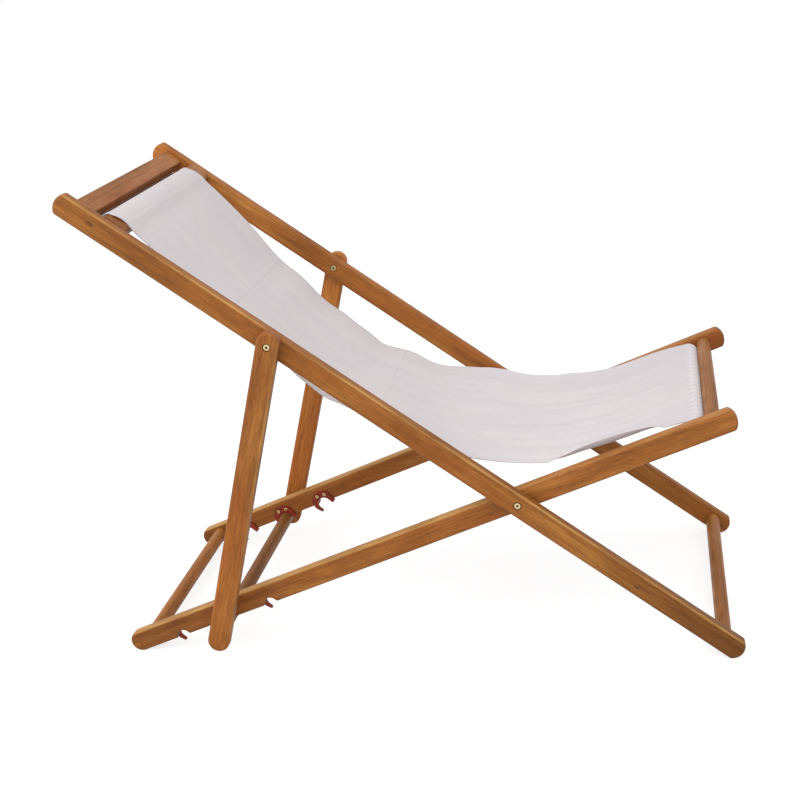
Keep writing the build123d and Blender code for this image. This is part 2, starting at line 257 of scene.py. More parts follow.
def tinted(colour, shares):
    """A colour with each channel scaled, no brighter than white."""
    return tuple(min(1.0, value * share) for value, share in zip(colour, shares))


def noise(tree, place, scale, detail=2.0, roughness=0.5):
    """Value of a noise texture at a place, with a scale for each axis."""
    vector = vector_calc(tree, "MULTIPLY", place, scale)
    inputs = {"Vector": vector, "Scale": 1.0, "Detail": detail, "Roughness": roughness}
    return add_node(tree, "ShaderNodeTexNoise", inputs).outputs[0]


def object_place(tree):
    """Coordinates of the object, which are those of the chair."""
    return add_node(tree, "ShaderNodeTexCoord").outputs["Object"]


def bumped(tree, height, strength, distance, over=None):
    """Normal of a surface with a height on it, over another normal if one is given."""
    node = add_node(tree, "ShaderNodeBump", {"Strength": strength, "Distance": distance, "Height": height})
    if over is not None:
        feed(tree, node, {"Normal": over})
    return node.outputs["Normal"]


def new_material(name):
    """A material with an empty tree, its output and its shader."""
    material = bpy.data.materials.new(name)
    material.use_nodes = True
    tree = material.node_tree
    tree.nodes.clear()
    output = tree.nodes.new("ShaderNodeOutputMaterial")
    shader = tree.nodes.new("ShaderNodeBsdfPrincipled")
    tree.links.new(shader.outputs[0], output.inputs[0])
    return material, tree, shader


def add_object(scene, name, data):
    """A new object in the scene."""
    item = bpy.data.objects.new(name, data)
    scene.collection.objects.link(item)
    return item


def dress(node, material):
    """Gives a solid its material."""
    mesh = nodes[node].data
    mesh.materials.clear()
    mesh.materials.append(material)


# Noise of the wood, with scales per metre along the grain and in the two directions across it
drift_scale = (1.7, 11.0, 11.0)
patch_scale = (6.5, 17.0, 17.0)
warmth_scale = (2.3, 21.0, 21.0)
fine_scale = (26.0, 520.0, 520.0)
pore_scale = (120.0, 1500.0, 1500.0)
figure_noise = {"detail": 3.0, "roughness": 0.55}
noise_middle = (0.5, 0.5, 0.5)

# Steps in the wood: the values where a step starts and ends, and what it gives there
dark_step = (0.52, 0.36, 0.0, 0.7)
pale_step = (0.5, 0.66, 0.0, 0.6)
red_step = (0.45, 0.68, 0.0, 0.6)
fine_step = (0.3, 0.72, 0.74, 1.2)
pore_step = (0.30, 0.38, 0.6, 1.0)
wood_gloss_step = (0.35, 0.65, 0.08, -0.05)
knot_step = (1.0, 0.15)
# The edge step gives wear and painted highlight on the upper outer rounding; the top steps give a painted
# highlight on the seat rails' upper faces
edge_wear_highlight_step = (0.35, 0.6, 0.15, 0.7)
top_highlight_step = (0.35, 0.6, 0.4, 0.8)
top_rear_step = (0.1, -0.2, 0.2, 1.0)

# Swing of the growth lines in metres, shares in the colour, the figure and the bump, and the knots' looks
grain_swing = (0.0, 0.012, 0.012)
redder_share = (1.04, 0.86, 0.8)
figure_share = 0.5
knot_stretch = 2.4
knot_depth = 0.55
fine_height = 0.6


def edge_wear_and_highlight(tree, axes, patch, board_middle, painted_top_highlight):
    """Share of the edge colour on a board, partly wear and partly painted highlight. It lies on the upper
    outer rounding, or on the whole upper face towards the rear end, where it is painted highlight only.
    """
    along, side, across = axes
    half_round = rail_round * math.sqrt(0.5)
    past_edge = calc(tree, "SUBTRACT", across, rail_width / 2 - rail_round)
    upper = calc(tree, "DIVIDE", past_edge, half_round, clamp=True)
    # On the seat rails the whole upper face is paled towards the rear end as a painted highlight
    if painted_top_highlight:
        rear = step(tree, along, *top_rear_step)
        return product(tree, upper, step(tree, patch, *top_highlight_step), rear)
    # On the upper outer rounding the paler colour is partly wear and partly painted highlight
    off_middle = calc(tree, "SUBTRACT", calc(tree, "ABSOLUTE", side), board_middle)
    past_face = calc(tree, "SUBTRACT", off_middle, rail_thickness / 2 - rail_round)
    outer = calc(tree, "DIVIDE", past_face, half_round, clamp=True)
    return product(tree, outer, upper, step(tree, patch, *edge_wear_highlight_step))


def knot_shade(tree, along, across, knots):
    """Shade of the knots, each (along, across, size): 1 away from them all."""
    cover = 0.0
    for knot_along, knot_across, size in knots:
        reach = calc(tree, "DIVIDE", calc(tree, "SUBTRACT", along, knot_along), size * knot_stretch)
        lift = calc(tree, "DIVIDE", calc(tree, "SUBTRACT", across, knot_across), size)
        square = calc(tree, "ADD", product(tree, reach, reach), product(tree, lift, lift))
        here = step(tree, calc(tree, "SQRT", square), *knot_step)
        cover = calc(tree, "MAXIMUM", here, cover)
    return calc(tree, "SUBTRACT", 1.0, product(tree, cover, knot_depth))


def wood_frame(tree, origin, turn):
    """Coordinates in a piece's own frame, the first along its grain, and the same with its swing."""
    moved = vector_calc(tree, "SUBTRACT", object_place(tree), origin)
    own = add_node(tree, "ShaderNodeMapping", {"Vector": moved, "Rotation": turn}).outputs["Vector"]
    slow = vector_calc(tree, "MULTIPLY", own, drift_scale)
    drift = add_node(tree, "ShaderNodeTexNoise", {"Vector": slow, "Scale": 1.0}).outputs["Color"]
    centred = vector_calc(tree, "SUBTRACT", drift, noise_middle)
    swing = vector_calc(tree, "MULTIPLY", centred, grain_swing)
    return own, vector_calc(tree, "ADD", own, swing)


def wood_material(piece, settings, origin, turn, tint, board_middle=None, knots=(), painted_end_light=None):
    """Oiled hardwood whose grain runs along the piece, in a frame of its own.

    board_middle is a board's distance from the chair's middle, and the end shade (from, to, shade there)
    is painted shade or painted highlight towards one end.
    """
    material, tree, shader = new_material(f"{piece}_wood")
    own, grain = wood_frame(tree, origin, turn)
    axes = add_node(tree, "ShaderNodeSeparateXYZ", {0: own}).outputs
    along, side, across = axes

    per_width = 1 / settings.streak_pitch
    broad = noise(tree, grain, (1 / settings.streak_length, per_width, per_width), **figure_noise)
    patch = noise(tree, own, patch_scale, **figure_noise)
    warmth = noise(tree, own, warmth_scale)
    fine = noise(tree, grain, fine_scale, detail=4.0, roughness=0.65)
    pore = noise(tree, grain, pore_scale, detail=1.0)

    figure = calc(tree, "ADD", product(tree, broad, figure_share), product(tree, patch, 1 - figure_share))
    to_dark = step(tree, figure, *dark_step)
    body = mix(tree, to_dark, opaque(settings.face), opaque(settings.dark))
    body = mix(tree, step(tree, figure, *pale_step), body, opaque(settings.light))
    redder = opaque(tinted(settings.face, redder_share))
    body = mix(tree, step(tree, warmth, *red_step), body, redder)

    open_pore = step(tree, pore, *pore_step)
    shade = product(tree, step(tree, fine, *fine_step), open_pore)
    # Painted shade or painted highlight towards one end of a board
    if painted_end_light is not None:
        start, end, shade_there = painted_end_light
        shade = product(tree, shade, step(tree, along, start, end, 1.0, shade_there))
    if knots:
        shade = product(tree, shade, knot_shade(tree, along, across, knots))
    body = mix(tree, 1.0, shaded(tree, body, shade), opaque(tint), "MULTIPLY")
    if board_middle is not None:
        # Seat rails get a painted highlight over their whole upper face; the other boards get wear and
        # painted highlight on the upper outer rounding
        painted_top_highlight = piece.startswith("seat_rail")
        wear_and_highlight = edge_wear_and_highlight(tree, axes, patch, board_middle, painted_top_highlight)
        body = mix(tree, wear_and_highlight, body, opaque(settings.edge))

    height = calc(tree, "ADD", product(tree, fine, fine_height), open_pore)
    feed(tree, shader, {
        "Base Color": body,
        "Roughness": calc(tree, "ADD", step(tree, figure, *wood_gloss_step), settings.roughness),
        "Normal": bumped(tree, height, strength=0.22, distance=0.0005),
        "Specular IOR Level": 0.2,
    })
    return material


def turn_to(way):
    """Rotation that lays a side-view direction along the first axis."""
    return (0.0, math.atan2(way[1], way[0]), 0.0)


# Knots of the near back rail: along, across, size
near_rail_knots = ((-0.833, 0.002, 0.006), (0.24, -0.004, 0.003))

# Boards: where their grain starts, its direction, tint, knots and end shade, which is painted shade or
# painted highlight towards one end
boards = {
    # The near back rail darkens towards the foot as painted shade
    "back_rail_right": (main_pivot, back_way, (1.0, 1.0, 1.0), near_rail_knots, (0.08, 0.45, 0.6)),
    # The far back rail is paled as painted light on its shaded face, and brightened at its head end as a
    # painted highlight
    "back_rail_left": (main_pivot, back_way, (1.12, 1.08, 1.06), (), (-0.874, -0.884, 1.3)),
    # The seat rails darken towards the rear end as painted shade
    "seat_rail_right": (main_pivot, seat_way, (1.04, 1.0, 1.02), (), (-0.45, -0.66, 0.8)),
    "seat_rail_left": (main_pivot, seat_way, (1.08, 0.98, 0.98), (), (-0.55, -0.74, 0.74)),
    # The struts are paled as painted light where they sit in shade; the near strut darkens towards its
    # pivot as painted shade
    "strut_right": (strut_pivot, strut_way, (1.38, 1.36, 1.48), (), (0.5, 0.2, 0.72)),
    "strut_left": (strut_pivot, strut_way, (1.52, 1.5, 1.6), (), None),
}

# Cross pieces and their tints
cross_bars = {
    "head_slat": (1.08, 1.1, 1.5),
    "back_sling_bar": (0.9, 0.85, 0.82),
    "foot_dowel": (1.1, 1.1, 1.15),
    "front_dowel": (0.98, 1.02, 1.2),
    "seat_sling_bar": (0.97, 0.95, 0.92),
    "rear_dowel": (1.35, 1.38, 1.5),
    "prop_dowel": (0.86, 0.92, 1.1),
    # The head rod is tinted darker as painted shade, where it shows in the slot under the head slat
    "sling_rod_head": (0.8, 0.8, 0.9),
    "sling_rod_front": (1.06, 1.1, 1.2),
}


class BEACHCHAIR_OT_wood(bpy.types.Operator):
    """Gives the rails, struts, slats and dowels their oiled hardwood"""

    bl_idname = "beach_chair.wood"
    bl_label = "Wood"

    def execute(self, context):
        settings = context.scene.beach_chair_wood
        for piece, (origin, way, tint, knots, painted_end_light) in boards.items():
            board_middle = abs(middle(piece).y)
            turn = turn_to(way)
            wood = wood_material(piece, settings, origin, turn, tint, board_middle, knots, painted_end_light)
            dress(piece, wood)
        across_turn = (0.0, 0.0, -math.pi / 2)
        for piece, tint in cross_bars.items():
            dress(piece, wood_material(piece, settings, middle(piece), across_turn, tint))
        return {"FINISHED"}


# Darkening on the fittings, painted shade at the bolts' sockets and rims: the distances in metres where a
# step starts and ends, and the shades there
socket_step = (0.0025, 0.0021, 1.0, 0.1)
rim_step = (0.0046, 0.0055, 1.0, 0.35)
slot_step = (0.0003, 0.0009, 1.0, 0.2)

# Looks of the fittings: noise scales per metre, steps as in the wood, and shares of the main colour
metal_mark_scale = (900.0, 900.0, 900.0)
metal_cloud_scale = (160.0, 160.0, 160.0)
metal_gloss_step = (0.3, 0.7, -0.06, 0.1)
metal_cloud_share = (0.72, 0.72, 0.72)
plastic_grain_scale = (1400.0, 1400.0, 1400.0)
plastic_cloud_scale = (45.0, 45.0, 45.0)
plastic_gloss_step = (0.3, 0.7, 0.42, 0.55)
plastic_cloud_share = (1.35, 1.35, 1.35)
cloud_step = (0.35, 0.7)


def axis_distance(tree, place, pivot):
    """Distance of a point from the axis through a pivot."""
    off = vector_calc(tree, "SUBTRACT", place, pivot)
    forward_and_up = (1.0, 0.0, 1.0)
    return vector_calc(tree, "LENGTH", vector_calc(tree, "MULTIPLY", off, forward_and_up))


def socket_shade(tree, place):
    """Painted shade in the bolts' sockets and round their rims: 1 on the bare ring of a head."""
    distances = [axis_distance(tree, place, pivot) for pivot in (main_pivot, strut_pivot)]
    near = calc(tree, "MINIMUM", *distances)
    return product(tree, step(tree, near, *socket_step), step(tree, near, *rim_step))


def slot_shade(tree, place):
    """Darker in the screws' cross slots and round their heads: 1 on top of a head."""
    depth = calc(tree, "ABSOLUTE", add_node(tree, "ShaderNodeSeparateXYZ", {0: place}).outputs["Y"])
    top = min(abs(corner.y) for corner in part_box("hook_screws_left"))
    return step(tree, calc(tree, "SUBTRACT", depth, top), *slot_step)


def metal_material(name, colour, roughness, recess_darkening):
    """Plated metal with fine handling marks, darkened in its sockets or slots and round its heads."""
    material, tree, shader = new_material(name)
    place = object_place(tree)
    marks = noise(tree, place, metal_mark_scale, detail=3.0, roughness=0.6)
    cloud = step(tree, noise(tree, place, metal_cloud_scale), *cloud_step)
    body = mix(tree, cloud, opaque(colour), opaque(tinted(colour, metal_cloud_share)))
    feed(tree, shader, {
        # The darkening is painted shade at the bolts' sockets and rims
        "Base Color": shaded(tree, body, recess_darkening(tree, place)),
        "Roughness": calc(tree, "ADD", step(tree, marks, *metal_gloss_step), roughness),
        "Normal": bumped(tree, marks, strength=0.12, distance=0.0001),
        "Metallic": 1.0,
    })
    return material


def plastic_material(name, colour):
    """Moulded plastic with a fine texture."""
    material, tree, shader = new_material(name)
    place = object_place(tree)
    grain = noise(tree, place, plastic_grain_scale)
    cloud = step(tree, noise(tree, place, plastic_cloud_scale), *cloud_step)
    feed(tree, shader, {
        "Base Color": mix(tree, cloud, opaque(colour), opaque(tinted(colour, plastic_cloud_share))),
        "Roughness": step(tree, grain, *plastic_gloss_step),
        "Normal": bumped(tree, grain, strength=0.15, distance=0.0002),
        "Specular IOR Level": 0.3,
    })
    return material


class BEACHCHAIR_OT_fittings(bpy.types.Operator):
    """Gives the hooks, screws and pivots their plastic and metal"""

    bl_idname = "beach_chair.fittings"
    bl_label = "Fittings"

    def execute(self, context):
        settings = context.scene.beach_chair_fittings
        hook = plastic_material("hook_plastic", settings.hook)
        screw = metal_material("screw_brass", settings.screw, settings.roughness, slot_shade)
        pivot = metal_material("pivot_nickel", settings.pivot, settings.roughness, socket_shade)
        for node in nodes:
            if node.startswith("notch_hook"):
                dress(node, hook)
            elif node.startswith("hook_screws"):
                dress(node, screw)
            elif "_pivot_" in node:
                dress(node, pivot)
        return {"FINISHED"}


# The hanging canvas in the side view, forward and up from the main pivot:
# (forward, near edge, middle, far edge)
hang_stations = (
    (-0.6036, 0.4818, 0.4825, 0.4838),
    (-0.585, 0.460, 0.462, 0.4625),
    (-0.531, 0.402, 0.394, 0.3975),
    (-0.475, 0.350, 0.327, 0.3215),
    (-0.440, 0.316, 0.291, 0.289),
    (-0.405, 0.276, 0.253, 0.246),
    (-0.354, 0.219, 0.203, 0.203),
    (-0.320, 0.187, 0.175, 0.172),
    (-0.290, 0.170, 0.153, 0.146),
    (-0.244, 0.147, 0.131, 0.131),
    (-0.185, 0.115, 0.101, 0.100),
    (-0.127, 0.084, 0.080, 0.093),
    (-0.068, 0.066, 0.068, 0.087),
    (-0.011, 0.058, 0.060, 0.073),
    (0.036, 0.056, 0.060, 0.070),
    (0.052, 0.056, 0.061, 0.070),
    (0.068, 0.056, 0.062, 0.072),
    (0.104, 0.063, 0.068, 0.0735),
    (0.153, 0.076, 0.079, 0.0825),
    (0.183, 0.087, 0.088, 0.092),
    (0.227, 0.1065, 0.104, 0.107),
    (0.263, 0.1180, 0.116, 0.117),
)

# The bend under the seat, the near edge's curl, and the slid and lifted head; places are metres forward
bend_at = 0.052
bend_skew = 0.006
bend_reach = 0.05
roll_from = 0.052
roll_to = 0.240
roll_fullness = 0.7
curl_pull = 0.35
slide_from = -0.645
slide_to = -0.590
head_lift_reach = 0.016

# Turns round the rods and bars in degrees from a rail's direction, and points along each stretch
head_wrap = (140, 360)
bar_turn = (180, 90)
front_wrap = (68, -250)
front_turn = (180, 260)
front_turn_radius = 0.003
wrap_rows = 30
head_drop_rows = 9
bar_rows = 8
bow_points = 9
front_rows = 26
front_drop_rows = 6
front_turn_rows = 5
smooth_parts = 8

# Soft lengthwise folds: waves across, waves along, start in radians, share of the height
ripple_waves = ((2.1, 1.1, 0.8, 1.0), (3.7, -1.4, 2.1, 0.6), (6.3, 0.9, 0.3, 0.4))
ripple_least = 0.35
ripple_edge_loss = 0.6
ripple_fade_rows = (0.06, 0.04)

# Where the soft folds and the edges' waves are strongest: forward, reach, share
ripple_places = ((0.1, 0.16, 0.8), (-0.13, 0.12, 0.35))
wave_places = ((-0.32, 0.12, 1.0), (-0.05, 0.1, 0.4))
wave_length = 0.047
wave_reach = 0.07
wave_starts = (2.3, 0.4)

# Pressed creases: forward, width and rise of the fold, width and depth of its darker line of painted shade
crease_lines = (
    (-0.475, 0.004, 1.0, 0.0022, 0.06),
    (-0.244, 0.004, 1.1, 0.002, 0.06),
    (bend_at, 0.005, -0.5, 0.003, 0.02),
)
crease_edge_loss = 0.35

# Gathers at the front bar: unevenness, roundness, and degrees on the bar where they begin and end
gather_drift = 0.12
gather_drift_rate = 31
gather_roundness = 0.5
gather_begin = (105, 60)
gather_end = (-48, 35)

# Columns beside a hem's inner edge, its seam and the fold, in metres
hem_step_in = 0.0008
hem_step_out = 0.0004
seam_inset = 0.0022
fold_inset = 0.0006


def upward(way):
    """Side-view direction square to a rail's, on its upper side."""
    return np.array([-way[1], way[0]])


def from_rail(way, along, across):
    """Side-view point at a place along and above a rail through the main pivot."""
    return side_view(main_pivot) + np.outer(along, way) + np.outer(across, upward(way))


def rail_place(way, node):
    """Place along and above a rail through the main pivot of a solid's middle."""
    off = side_view(middle(node)) - side_view(main_pivot)
    return off @ way, off @ upward(way)


def slope(way):
    """Angle of a side-view direction in degrees."""
    return math.degrees(math.atan2(way[1], way[0]))


def arc(centre, radius, start, end, count):
    """Points on an arc, as along and across values."""
    turn = np.radians(np.linspace(start, end, count))
    return centre[0] + radius * np.cos(turn), centre[1] + radius * np.sin(turn)


def running_length(line):
    """Length along a line from its start to each of its points."""
    return np.concatenate([[0.0], np.cumsum(np.linalg.norm(np.diff(line, axis=0), axis=1))])


def even_points(line, count):
    """A line again with this many points, evenly spaced."""
    run = running_length(line)
    at = np.linspace(0.0, run[-1], count)
    return np.stack([np.interp(at, run, line[:, axis]) for axis in range(line.shape[1])], axis=1)


def smooth_line(points, count):
    """A smooth line through points, evenly divided."""
    run = running_length(points)
    lean = np.gradient(points, run, axis=0)
    at = np.linspace(0.0, run[-1], smooth_parts * count)
    index = np.clip(np.searchsorted(run, at, side="right") - 1, 0, len(run) - 2)
    gap = (run[index + 1] - run[index])[:, None]
    share = ((at - run[index]) / gap[:, 0])[:, None]
    start, end = points[index], points[index + 1]
    rise = smooth_step(share, 0, 1)
    lean_start = share * (1 - share) ** 2 * gap * lean[index]
    lean_end = share * share * (1 - share) * gap * lean[index + 1]
    return even_points(start + (end - start) * rise + lean_start - lean_end, count)


def touch_angle(centre, radius, point, leaving):
    """Angle in degrees on a round where a line to or from a point touches its upper side."""
    off = point - centre
    spread = math.degrees(math.acos(radius / np.linalg.norm(off)))
    return slope(off) + spread if leaving else slope(off) - spread


def bump_at(value, centre, width):
    """A soft bump of height 1."""
    return np.exp(-(((value - centre) / width) ** 2))


def bumps(value, places):
    """Soft bumps at several places, each (centre, width, height), added up."""
    return sum(height * bump_at(value, centre, width) for centre, width, height in places)


def smooth_step(value, start, end):
    """0 before start, 1 past end, smooth between."""
    share = np.clip((value - start) / (end - start), 0, 1)
    return share * share * (3 - 2 * share)


def hang_points(share):
    """Points of the hanging canvas at a share across it: -1 near edge, 0 middle, 1 far edge."""
    forward, near, mid, far = np.array(hang_stations).T
    up = near * share * (share - 1) / 2 + mid * (1 - share**2) + far * share * (share + 1) / 2
    skew = -bend_skew * share * bump_at(forward, bend_at, bend_reach)
    return side_view(main_pivot) + np.stack([forward + skew, up], axis=1)


def rod_radius(node):
    """Radius of a round cross piece."""
    low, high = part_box(node)
    return (high.x - low.x) / 2


def sling_line(share, settings):
    """One lengthwise line of the canvas in the side view, and the row where each stretch of it ends."""
    offset = cloth_gap + settings.thickness / 2
    head_rod = rail_place(back_way, "sling_rod_head")
    head_radius = rod_radius("sling_rod_head") + offset
    head_ring = arc(head_rod, head_radius, *head_wrap, wrap_rows)

    round_radius = bar_top_round + offset
    round_across = rail_width / 2 - bar_top_round
    bar_along = rail_place(back_way, "back_sling_bar")[0]
    head_round = bar_along - bar_half_width + bar_top_round
    lower_round = bar_along + bar_half_width - bar_top_round
    drop = head_round - round_radius
    over_head = arc((head_round, round_across), round_radius, *bar_turn, bar_rows)
    bow = settings.head_crown * (1 - np.linspace(-1, 1, bow_points) ** 2)
    bar_top = np.linspace(head_round, lower_round, bow_points)

    hanging = hang_points(share)
    lower_centre = from_rail(back_way, [lower_round], [round_across])[0]
    leave = touch_angle(lower_centre, round_radius, hanging[0], True)
    over_lower = np.stack(arc(lower_centre, round_radius, slope(back_way) + 90, leave, bar_rows), axis=1)
    bar_centre = side_view(middle("seat_sling_bar"))
    bar_radius = rod_radius("seat_sling_bar") + offset
    meet = touch_angle(bar_centre, bar_radius, hanging[-1], False) % 360
    over_front = np.stack(arc(bar_centre, bar_radius, meet, slope(seat_way), front_rows), axis=1)
    hanging = np.concatenate([[over_lower[-1]], hanging, [over_front[0]]])

    front_rod = rail_place(seat_way, "sling_rod_front")
    front_radius = rod_radius("sling_rod_front") + offset
    fall = rail_place(seat_way, "seat_sling_bar")[0] + bar_radius
    turn_top = front_rod[1] + front_radius + front_turn_radius
    turn_in = arc((fall + front_turn_radius, turn_top), front_turn_radius, *front_turn, front_turn_rows)
    front_ring = arc(front_rod, front_radius, *front_wrap, wrap_rows)

    stretches = {
        "head_sleeve": (from_rail(back_way, *head_ring), wrap_rows),
        "head_drop": (from_rail(back_way, [drop, drop], [head_rod[1], round_across]), head_drop_rows),
        "head_round": (from_rail(back_way, *over_head), bar_rows),
        "bar_top": (from_rail(back_way, bar_top, rail_width / 2 + offset + bow), bar_rows),
        "lower_round": (over_lower, bar_rows),
        "hanging": (smooth_line(hanging, settings.rows), settings.rows),
        "front_round": (over_front, front_rows),
        "front_drop": (from_rail(seat_way, [fall, fall], [0.0, turn_top]), front_drop_rows),
        "front_turn": (from_rail(seat_way, *turn_in), front_turn_rows),
        "front_sleeve": (from_rail(seat_way, *front_ring), wrap_rows),
    }
    lines = [even_points(line, count)[:-1] for line, count in stretches.values()]
    lines[-1] = even_points(*stretches["front_sleeve"])
    ends = dict(zip(stretches, np.cumsum([len(line) for line in lines])))
    return np.concatenate(lines), ends


def surface_normals(grid):
    """Upward normals of a grid of points."""
    normal = np.cross(np.gradient(grid, axis=0), np.gradient(grid, axis=1))
    return normal / np.linalg.norm(normal, axis=2, keepdims=True)


def sling_folds(rows, share, forward, settings):
    """How far the hanging canvas stands off its smooth shape, and how far its near edge curls."""
    ripple = 0.0
    for across, along, start, height in ripple_waves:
        ripple = ripple + height * np.sin(2 * np.pi * (across * share + along * rows) + start)
    strength = ripple_least + bumps(forward, ripple_places)
    first_fade, last_fade = ripple_fade_rows
    ends = np.clip(rows / first_fade, 0, 1) * np.clip((1 - rows) / last_fade, 0, 1)
    lift = settings.ripple * ripple * strength * ends * (1 - ripple_edge_loss * share**4)
    for place, width, rise, line_width, line_depth in crease_lines:
        fold = np.exp(-np.abs(forward - place) / width)
        lift += settings.crease * rise * fold * (1 - crease_edge_loss * share**2)
    near_start, far_start = wave_starts
    wave = np.sin(2 * np.pi * forward / wave_length + np.where(share > 0, far_start, near_start))
    at_edge = np.exp(-(1 - np.abs(share)) / wave_reach)
    lift += settings.edge_wave * wave * at_edge * bumps(forward, wave_places)
    run = np.clip((forward - roll_from) / (roll_to - roll_from), 0, 1)
    from_near = (1 + share) * settings.width / 2
    fade = np.exp(-from_near / settings.roll_width)
    return lift, settings.edge_roll * np.sin(np.pi * run) ** roll_fullness * fade


def sling_columns(settings):
    """Places across the canvas, with close ones at the hems' inner edges and folds."""
    half = settings.width / 2
    inner = half - settings.hem_width
    inside = np.linspace(-inner + hem_step_in, inner - hem_step_in, settings.columns + 1)
    hem_middle = half - settings.hem_width / 3
    hem = np.array([inner + hem_step_out, inner + seam_inset, hem_middle, half - fold_inset, half])
    return np.concatenate([-hem[::-1], inside, hem])


def gather_heights(points, side, settings):
    """How far the gathers lift the canvas on the front bar, by row and column."""
    off = points[:, :, [0, 2]] - side_view(middle("seat_sling_bar"))
    turn = np.degrees(np.arctan2(off @ upward(seat_way), off @ seat_way))
    depth = settings.ruffle * smooth_step(turn, *gather_begin) * smooth_step(turn, *gather_end)
    place = side / settings.ruffle_pitch + gather_drift * np.sin(gather_drift_rate * side)
    tooth = np.abs(np.sin(np.pi * place)) ** gather_roundness
    to_edge = np.clip((settings.width / 2 - np.abs(side)) / settings.ruffle_pitch, 0, 1)
    return depth * (tooth * to_edge)[None, :]


def sling_grid(settings):
    """Middle surface of the canvas as a grid, its normals, half thickness, columns and stretches' ends."""
    side = sling_columns(settings)
    lines = []
    for place in side:
        line, ends = sling_line(2 * place / settings.width, settings)
        lines.append(line)
    flat = np.stack(lines, axis=1)
    grid = np.stack([flat[:, :, 0], np.broadcast_to(side, flat.shape[:2]), flat[:, :, 1]], axis=2)
    normal = surface_normals(grid)
    share = np.broadcast_to(2 * side / settings.width, flat.shape[:2])
    forward = grid[:, :, 0] - main_pivot.x

    hanging = slice(ends["lower_round"], ends["hanging"])
    count = ends["hanging"] - ends["lower_round"]
    rows = np.broadcast_to(np.linspace(0, 1, count)[:, None], (count, len(side)))
    lift, curl = sling_folds(rows, share[hanging], forward[hanging], settings)
    grid[hanging] += normal[hanging] * lift[:, :, None]
    grid[hanging, :, 1] += curl_pull * curl
    grid[hanging, :, 2] += curl

    gather = slice(ends["hanging"], ends["front_drop"])
    grid[gather] += normal[gather] * gather_heights(grid[gather], side, settings)[:, :, None]

    over_bar = slice(ends["head_sleeve"], ends["lower_round"])
    lifted = settings.head_lift * bump_at(side + settings.width / 2, 0.0, head_lift_reach)
    rise = np.sin(np.pi * np.linspace(0, 1, ends["lower_round"] - ends["head_sleeve"]))
    grid[over_bar] += normal[over_bar] * (rise[:, None] * lifted[None, :])[:, :, None]

    slide = -settings.head_slide * smooth_step(forward, slide_to, slide_from)
    sleeve, drop = ends["head_sleeve"], ends["head_drop"]
    slide[:sleeve] = settings.sleeve_slide
    slide[sleeve:drop] = np.linspace(settings.sleeve_slide, -settings.head_slide, drop - sleeve)[:, None]
    grid[:, :, 1] += slide
    inner = settings.width / 2 - settings.hem_width
    hem = np.where(np.abs(side) > inner, settings.hem_extra, 0.0)
    return grid, surface_normals(grid), (settings.thickness + hem) / 2, side, ends


def skin_faces(count_rows, count_columns):
    """Faces of a closed sheet: upper grid, lower grid and the walls round them."""
    index = np.arange(count_rows * count_columns).reshape(count_rows, count_columns)
    upper = np.stack([index[:-1, :-1], index[1:, :-1], index[1:, 1:], index[:-1, 1:]], axis=-1)
    lower = upper[:, :, [0, 3, 2, 1]] + index.size
    ring = np.concatenate([index[0, :-1], index[:-1, -1], index[-1, :0:-1], index[:0:-1, 0]])
    below = ring + index.size
    wall = np.stack([ring, np.roll(ring, -1), np.roll(below, -1), below], axis=-1)
    return np.concatenate([upper.reshape(-1, 4), lower.reshape(-1, 4), wall]).tolist()


# Looks of the canvas: yarn pitch in metres, noise scales per metre across and along, and shade steps
yarn_pitch = 0.00085
slub_scale = (900.0, 35.0, 1.0)
streak_scale = (75.0, 2.6, 1.0)
canvas_cloud_scale = (9.0, 6.0, 1.0)
soft_fold_scale = (38.0, 3.0, 1.0)
streak_step = (0.3, 0.72, 0.98, 1.012)
slub_step = (0.3, 0.7, 0.985, 1.012)
canvas_cloud_step = (0.3, 0.7, 0.98, 1.01)
warm_step = (0.35, 0.65, 0.0, 0.25)
warm_canvas = tone(214, 207, 203)
slub_height = 1.5

# Shades along the canvas: painted shade at the head end and on the seat towards the front, and the doubled
# front sleeve
head_shade = 0.96
head_shade_reach = 0.3
seat_shade = 0.94
sleeve_shade = 1.02
sleeve_shade_reach = 0.001


def crease_shade(tree, along, place, width, depth):
    """Painted shade along one pressed crease: 1 away from it."""
    off = calc(tree, "DIVIDE", calc(tree, "SUBTRACT", along, place), width)
    line = calc(tree, "POWER", math.e, product(tree, off, off, -1.0))
    return calc(tree, "SUBTRACT", 1.0, product(tree, line, depth))


